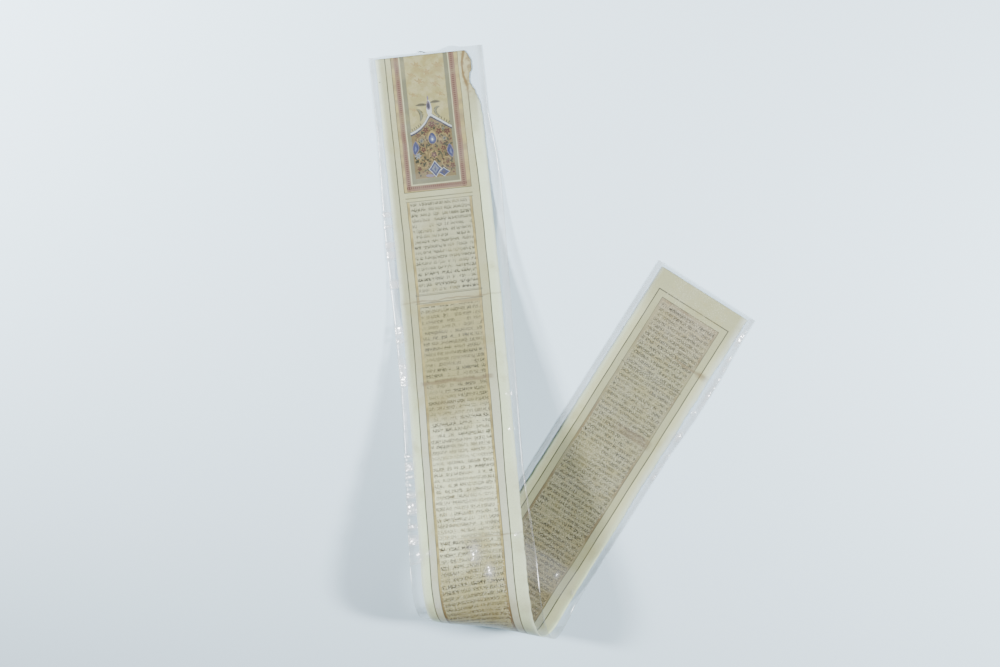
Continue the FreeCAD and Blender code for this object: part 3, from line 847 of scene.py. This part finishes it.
def makeHeadpiece():
    bm = bmesh.new()
    colours = bm.loops.layers.float_color.new("paintTint")
    art = (bm, colours)
    rng = random.Random(11)
    addPanel(art)

    # Scrolling stems, scattered leaves and small blossoms
    for x, down, radius, turn in headpiece["spirals"]:
        addSpiral(art, x, down, radius, turn, "brightGold", 1)
    for i in range(headpiece["scattered"]):
        x = rng.uniform(-16.6, 13.2)
        down = rng.uniform(archAt(x) + 1.8, 95.8)
        kind = rng.random()
        if kind < 0.62:
            addLeaf(art, x, down, rng.uniform(1.9, 3.4), rng.uniform(0.9, 1.5), rng.uniform(0, 6.28), "darkGreen", 2, 0.3)
        elif kind < 0.88:
            addFlower(art, x, down, rng.uniform(0.7, 1.1), 4, "redBrown", 2, rng.uniform(0, 1))
        else:
            addFlower(art, x, down, rng.uniform(0.6, 0.9), 5, "brightGold", 2)
    for x, down, radius in headpiece["redFlowers"]:
        addFlower(art, x, down, radius * 1.75, 5, "brightGold", 3, 0.4)
        addFlower(art, x, down, radius * 1.6, 5, "redBrown", 4, 0.4)
        addFlower(art, x, down, radius * 0.35, 5, "ochre", 5)
    for x, down, radius in headpiece["greyFlowers"]:
        addFlower(art, x, down, radius, 6, "greyGreen", 4)
        addFlower(art, x, down, radius * 0.5, 6, "navy", 5)
    addFlower(art, -1.5, 79.9, 3.3, 5, "brightGold", 3, 0.3)
    addFlower(art, -1.5, 79.9, 2.9, 5, "purpleBrown", 4, 0.3)
    addFlower(art, -1.5, 79.9, 1.1, 5, "rose", 5, 0.3)

    # Blue palmettes at the middle and both sides, and the diamonds below
    addDrop(art, -1.6, 65.9, 8.2, 11.0, "brightGold", 5)
    addDrop(art, -1.6, 66.7, 7.0, 9.0, "blue", 6)
    addDrop(art, -1.6, 67.0, 3.6, 5.0, "paleBlue", 7)
    addDrop(art, -1.6, 67.4, 1.4, 2.2, "white", 8)
    for x, down, flip in ((-15.9, 73.2, 1), (12.2, 77.6, -1)):
        addLeaf(art, x, down, 11.2, 5.2, 1.57 + 0.16 * flip, "lavender", 5, -0.6 * flip)
        addLeaf(art, x, down, 10.4, 4.4, 1.57 + 0.16 * flip, "blue", 6, -0.6 * flip)
        addLeaf(art, x, down + 0.6, 4.6, 1.5, 1.57 + 0.16 * flip, "paleBlue", 7, -0.4 * flip)
    addFlower(art, -14.2, 79.6, 2.9, 6, "greyWhite", 5)
    addFlower(art, -14.2, 79.6, 1.1, 6, "slate", 6)
    addLeaf(art, -6.3, 96.0, 7.5, 2.4, 0.1, "lavender", 5)
    addDiamond(art, -1.7, 91.0, 10.6, 13.2, "white", 6)
    addDiamond(art, -1.7, 91.0, 9.6, 12.0, "blue", 7)
    addDiamond(art, -1.7, 90.8, 6.0, 7.6, "slate", 8)
    addDiamond(art, -1.7, 90.8, 2.0, 5.0, "blue", 9)
    addDiamond(art, 4.9, 94.0, 9.6, 7.2, "white", 7)
    addDiamond(art, 4.9, 94.0, 8.8, 6.4, "blue", 8)
    addDiamond(art, 4.9, 93.9, 4.0, 2.8, "navy", 9)

    # Finial over the arch: halo, violet core, side leaves, crescents and ticks
    addDrop(art, -1.7, 42.4, 4.6, 12.6, "white", 3)
    addDrop(art, -2.0, 40.4, 3.6, 7.6, "lavender", 4)
    addDrop(art, -2.0, 40.5, 2.2, 5.2, "navy", 5)
    addLeaf(art, -7.4, 39.9, 10.4, 2.6, 0.03, "greyGreen", 3, -0.5)
    addLeaf(art, -7.6, 39.8, 9.6, 1.7, 0.03, "olive", 4, -0.5)
    addLeaf(art, 3.4, 38.4, 9.0, 2.6, -0.03, "greyGreen", 3, -0.5)
    addLeaf(art, 3.6, 38.3, 8.2, 1.7, -0.03, "olive", 4, -0.5)
    addLeaf(art, -2.0, 34.6, 4.0, 1.2, 1.57, "lavender", 4)
    for points, widths in (
        (((-11.6, 42.6), (-9.4, 44.2), (-8.2, 46.8), (-8.4, 49.6), (-9.6, 52.4)), (0.3, 1.3, 1.7, 1.2, 0.3)),
        (((6.8, 42.0), (4.2, 42.6), (2.8, 44.6), (3.6, 47.6), (6.8, 50.6)), (0.3, 1.2, 1.3, 1.0, 0.3)),
    ):
        addRibbon(art, points, [w * 1.9 for w in widths], "olive", 4)
        addRibbon(art, points, [w * 1.2 for w in widths], "greyGreen", 5)
    for x in (-16.6, -14.9, -13.2, -11.4, -9.7, 5.4, 7.4, 9.4, 11.2, 12.9):
        top = archAt(x) - headpiece["bandHeight"] - 1.1
        addLeaf(art, x, top, 2.5, 0.8, 1.2 if x < 0 else 1.9, "olive", 3)

    addFlower(art, -38.3, 18.4, 0.55, 3, "darkGreen", 0)

    # Faint gold sprays on the cream ground above
    for x, down, radius in headpiece["goldFlowers"]:
        addFlower(art, x, down, radius, 5, "creamGold", 0, x)
        addLeaf(art, x + radius + 0.6, down + 1.2, 3.0, 0.9, 0.7, "creamGold", 0)
        addLeaf(art, x - radius - 0.6, down - 1.0, 3.0, 0.9, 0.7, "creamGold", 0)
    addPlan(bm)
    bmesh.ops.recalc_face_normals(bm, faces=bm.faces)
    for face in bm.faces:
        if face.normal.z < 0:
            face.normal_flip()
    foldOver(bm)
    return newObject("headpiecePaint", bm, paintMaterial())


def paintMaterial():
    material = bpy.data.materials.new("waterPaint")
    material.use_nodes = True
    tree = material.node_tree
    surface = tree.nodes["Principled BSDF"]
    uv = tree.nodes.new("ShaderNodeUVMap")
    uv.uv_map = "sheetPlan"
    paint = tree.nodes.new("ShaderNodeAttribute")
    paint.attribute_name = "paintTint"
    fibre = grain(tree, uv.outputs[0], 0.9, 3.0)
    patchy = grain(tree, uv.outputs[0], 0.35, 3.0)
    shown = blend(tree, ramped(tree, patchy, 0.5, 0.75, 0.0, 0.2), paint.outputs["Color"], tint("creamGold"))
    shown = blend(tree, ramped(tree, fibre, 0.45, 0.75, 0.0, 0.3), shown, tint("darkGreen"))
    tree.links.new(shown, surface.inputs["Base Color"])
    tree.links.new(ramped(tree, fibre, 0.3, 0.7, 0.6, 0.8), surface.inputs["Roughness"])
    surface.inputs["Specular IOR Level"].default_value = 0.3
    bump = tree.nodes.new("ShaderNodeBump")
    bump.inputs["Distance"].default_value = 0.0001
    bump.inputs["Strength"].default_value = 0.5
    tree.links.new(fibre, bump.inputs["Height"])
    tree.links.new(bump.outputs[0], surface.inputs["Normal"])
    return material


def makeThread():
    # A scrap of dark thread caught in the sleeve's mouth above the sheet
    bm = bmesh.new()
    bmesh.ops.create_grid(bm, x_segments=10, y_segments=1, size=0.5)
    for v in bm.verts:
        share = v.co.x + 0.5
        thick = thread["width"] * (0.4 + 0.6 * math.sin(math.pi * share))
        v.co.z = thread["height"] + 0.1 * (1 if v.co.y > 0 else -1)
        v.co.y = -thread["down"] + 0.5 * math.sin(4.5 * share) + v.co.y * thick
        v.co.x = thread["from"] + (thread["to"] - thread["from"]) * share
    bmesh.ops.solidify(bm, geom=bm.faces[:], thickness=0.15)
    bmesh.ops.recalc_face_normals(bm, faces=bm.faces)
    foldOver(bm)
    material = bpy.data.materials.new("darkThread")
    material.use_nodes = True
    tree = material.node_tree
    surface = tree.nodes["Principled BSDF"]
    place = tree.nodes.new("ShaderNodeTexCoord")
    twist = grain(tree, place.outputs["Object"], 2500.0, 1.0)
    tree.links.new(blend(tree, twist, tint("olive"), tint("ink")), surface.inputs["Base Color"])
    surface.inputs["Roughness"].default_value = 0.8
    return newObject("threadScrap", bm, material)


thread = {"from": -5.6, "to": -0.4, "down": -2.0, "width": 0.7, "height": 0.42}
makeThread()
makeHeadpiece()
print("headpiece painted")


def makeStage():
    bm = bmesh.new()
    bmesh.ops.create_grid(bm, x_segments=2, y_segments=2, size=3.0)
    mesh = bpy.data.meshes.new("floor")
    bm.to_mesh(mesh)
    bm.free()
    floor = bpy.data.objects.new("floor", mesh)
    bpy.context.scene.collection.objects.link(floor)
    material = bpy.data.materials.new("paleFloor")
    material.use_nodes = True
    surface = material.node_tree.nodes["Principled BSDF"]
    surface.inputs["Base Color"].default_value = stageLook["floor"]
    surface.inputs["Roughness"].default_value = 0.9
    surface.inputs["Specular IOR Level"].default_value = 0.1
    mesh.materials.append(material)


stageLook = {
    "floor": (0.62, 0.80, 0.93, 1),
    "world": (0.95, 0.98, 1.0, 1),
    "worldStrength": 0.085,
    "size": 0.2,
    "lamps": (
        ("leftLamp", (-1.15, 0.159, 0.85), (-0.223, 0.586, 0), 1.755, 27.8),
        ("rightLamp", (1.2, -0.042, 0.85), (0.328, 0.046, 0), 1.791, 19.7),
    ),
}


def makeLights():
    for name, place, target, spread, power in stageLook["lamps"]:
        data = bpy.data.lights.new(name, "AREA")
        data.size = stageLook["size"]
        data.spread = spread
        data.energy = power
        lamp = bpy.data.objects.new(name, data)
        lamp.location = place
        aim = Vector(target) - Vector(place)
        lamp.rotation_euler = aim.to_track_quat("-Z", "Y").to_euler()
        bpy.context.scene.collection.objects.link(lamp)
    world = bpy.data.worlds.new("paleRoom")
    world.use_nodes = True
    background = world.node_tree.nodes["Background"]
    background.inputs["Color"].default_value = stageLook["world"]
    background.inputs["Strength"].default_value = stageLook["worldStrength"]
    bpy.context.scene.world = world


view = {"place": (-0.04893, 0.00199, 0.8746), "lens": 39.73}


def makeCamera():
    data = bpy.data.cameras.new("copyStand")
    data.sensor_width = 36
    data.lens = view["lens"]
    camera = bpy.data.objects.new("copyStand", data)
    camera.location = view["place"]
    bpy.context.scene.collection.objects.link(camera)
    bpy.context.scene.camera = camera


makeStage()
makeLights()
makeCamera()
print("stage, lights and camera ready")
